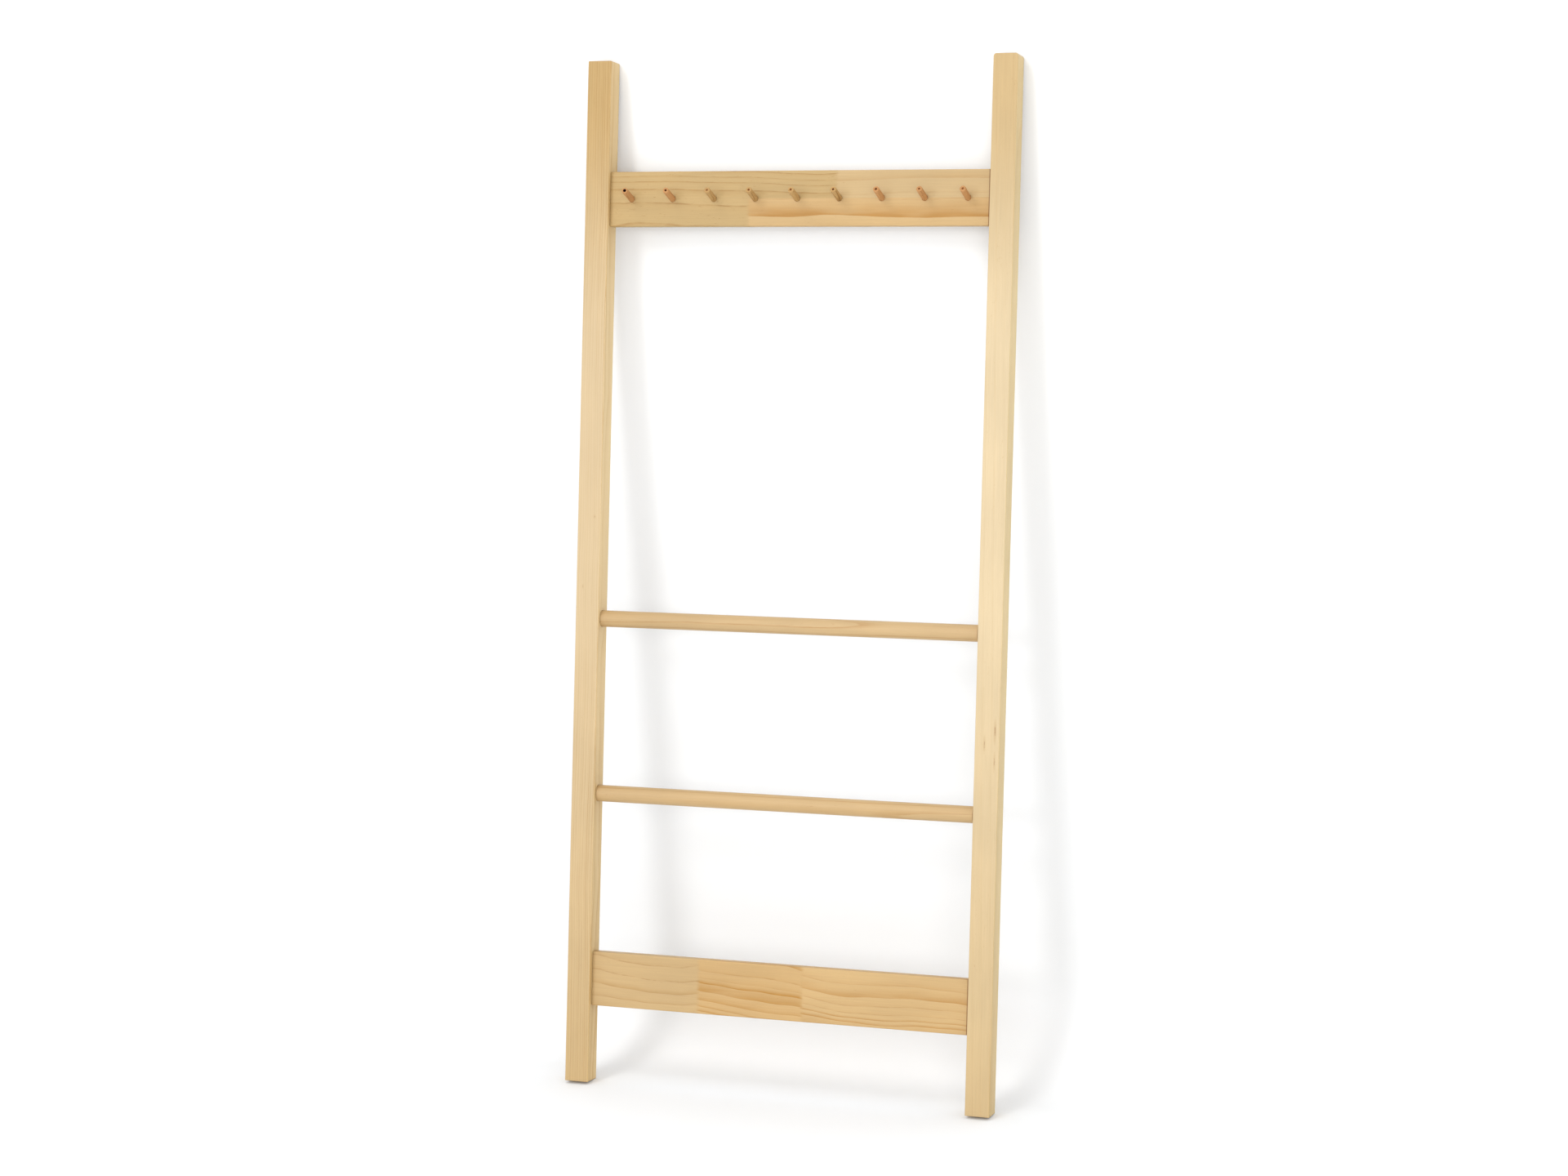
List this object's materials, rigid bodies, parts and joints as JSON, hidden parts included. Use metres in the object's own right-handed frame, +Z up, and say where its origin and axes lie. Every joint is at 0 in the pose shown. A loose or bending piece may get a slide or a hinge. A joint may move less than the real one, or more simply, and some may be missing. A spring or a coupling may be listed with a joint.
{
  "type": "leaning quilt rack",
  "caption": "Ladder-style wooden rack that leans on a wall, with a board of slanted pegs near the top, round rungs for folded quilts and a flat bottom board.",
  "frame": {"origin": "middle of the bounding box's base, at floor level, with the rack in its leaning use pose", "axes": "+Z up, +X to the viewer's right along the rungs, the front and the pegs face -Y, and the posts lean back by 7.17 degrees towards the wall on the +Y side"},
  "size_m": [0.688, 0.2372, 1.592],
  "materials": {
    "post_pine": "satin, thin clear coat on planed pine",
    "board_pine": "satin, finger-jointed pine",
    "rung_pine": "satin, turned pine",
    "peg_wood": "matte, bare hardwood dowel",
    "dowel_beech": "matte, bare beech dowel"
  },
  "bodies": {
    "root": {"left_post": "post_pine", "right_post": "post_pine", "peg_board": "board_pine", "bottom_board": "board_pine", "upper_rung": "rung_pine", "lower_rung": "rung_pine", "peg_1": "peg_wood", "peg_2": "peg_wood", "peg_3": "peg_wood", "peg_4": "peg_wood", "peg_5": "peg_wood", "peg_6": "peg_wood", "peg_7": "peg_wood", "peg_8": "peg_wood", "peg_9": "peg_wood", "peg_board_dowel_1": "dowel_beech", "peg_board_dowel_2": "dowel_beech", "peg_board_dowel_3": "dowel_beech", "peg_board_dowel_4": "dowel_beech", "bottom_board_dowel_1": "dowel_beech", "bottom_board_dowel_2": "dowel_beech", "bottom_board_dowel_3": "dowel_beech", "bottom_board_dowel_4": "dowel_beech"}
  },
  "joints": []
}
